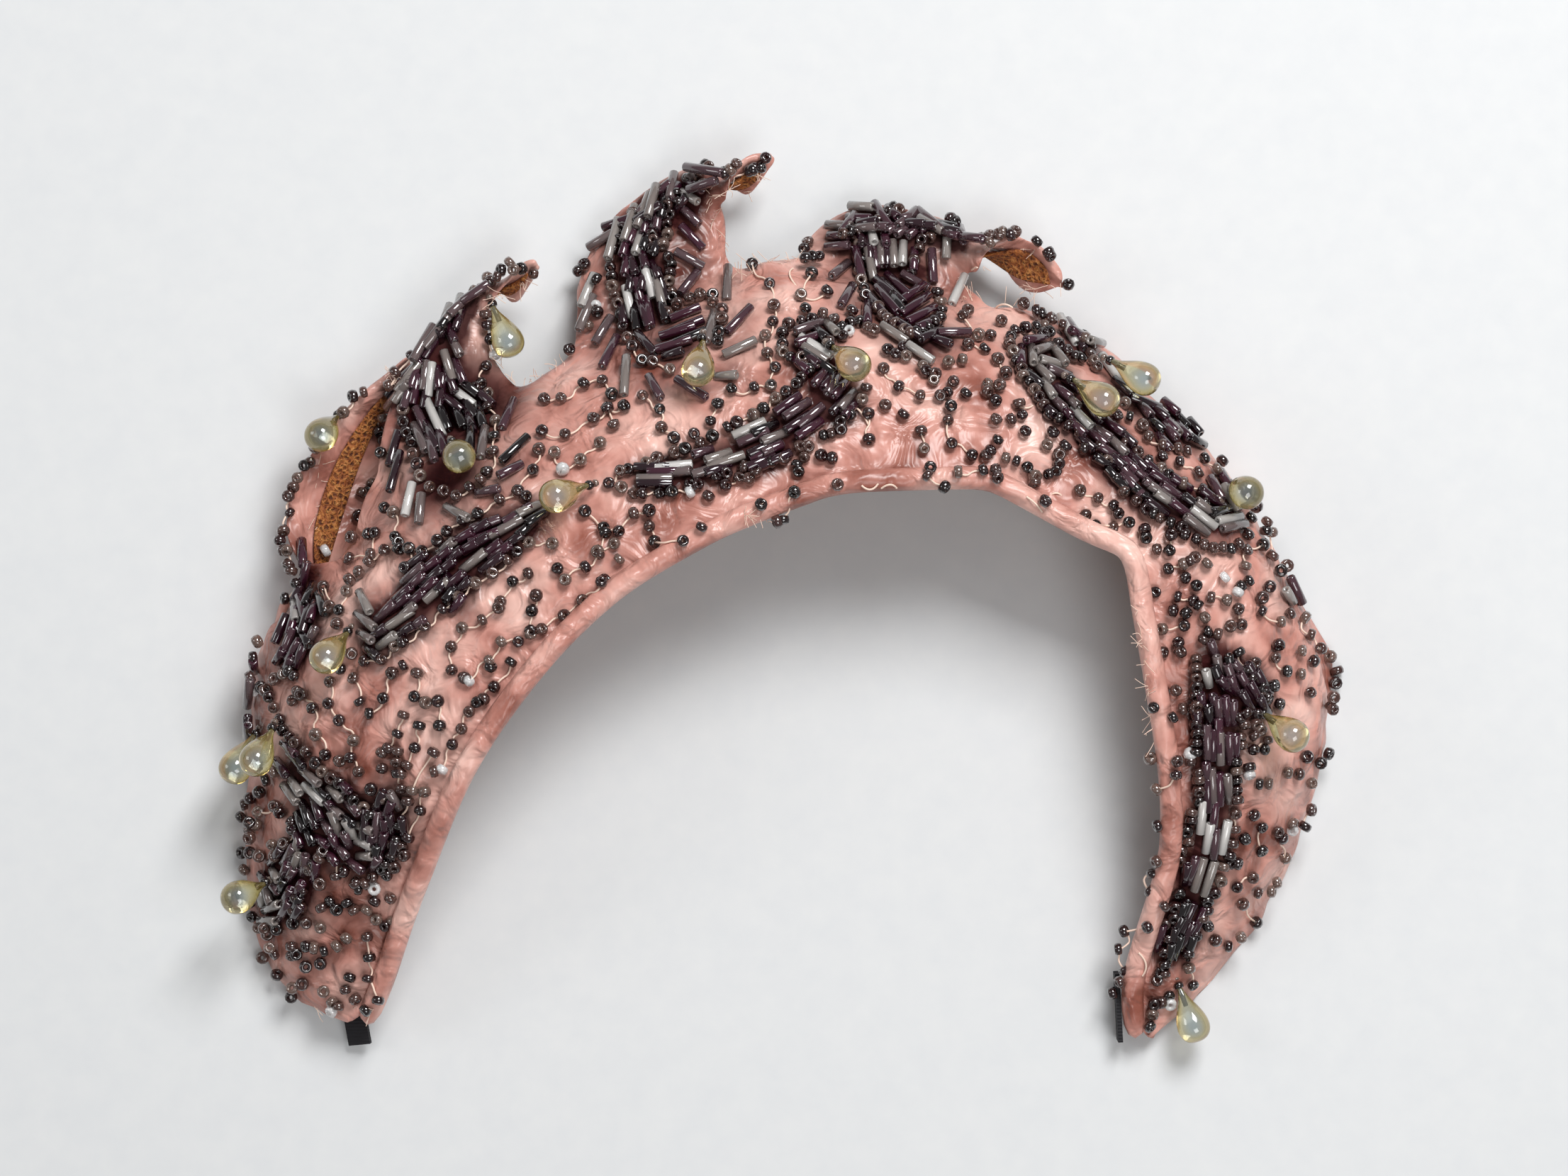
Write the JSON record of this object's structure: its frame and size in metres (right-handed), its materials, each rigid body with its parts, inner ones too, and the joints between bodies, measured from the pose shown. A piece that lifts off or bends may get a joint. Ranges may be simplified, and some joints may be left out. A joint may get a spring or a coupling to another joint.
{
  "type": "sculptural half-hat",
  "caption": "Stiff half-hat in dusty-rose satin over net, flame-pointed behind, with bugle, seed and teardrop beads.",
  "frame": {"origin": "middle of the bounding box on the plane that the hat's back edge rests on", "axes": "+Z out of the hat's face, +Y from the two ends to the crest, +X to the right seen from above the face"},
  "size_m": [0.2133, 0.1712, 0.046],
  "materials": {
    "satin": "satin",
    "net": "matte",
    "tape": "matte",
    "smoky_glass": "gloss",
    "drop_glass": "gloss",
    "thread": "matte"
  },
  "bodies": {
    "root": {"bugles_brow_left": "smoky_glass", "bugles_brow_right_fan": "smoky_glass", "bugles_centre_hook": "smoky_glass", "bugles_centre_loop": "smoky_glass", "bugles_crest_ring": "smoky_glass", "bugles_crest_spine": "smoky_glass", "bugles_left_branch": "smoky_glass", "bugles_left_edge": "smoky_glass", "bugles_left_twig_lower": "smoky_glass", "bugles_left_twig_upper": "smoky_glass", "bugles_right_arm": "smoky_glass", "bugles_right_edge": "smoky_glass", "bugles_right_scroll": "smoky_glass", "bugles_temple_comma": "smoky_glass", "drop_bead_01": "drop_glass", "drop_bead_02": "drop_glass", "drop_bead_03": "drop_glass", "drop_bead_04": "drop_glass", "drop_bead_05": "drop_glass", "drop_bead_06": "drop_glass", "drop_bead_07": "drop_glass", "drop_bead_08": "drop_glass", "drop_bead_09": "drop_glass", "drop_bead_10": "drop_glass", "drop_bead_11": "drop_glass", "drop_bead_12": "drop_glass", "drop_bead_13": "drop_glass", "drop_bead_14": "drop_glass", "drop_bead_15": "drop_glass", "front_binding": "satin", "net_frame": "net", "satin_cover": "satin", "tape_left": "tape", "tape_right": "tape"}
  },
  "joints": []
}
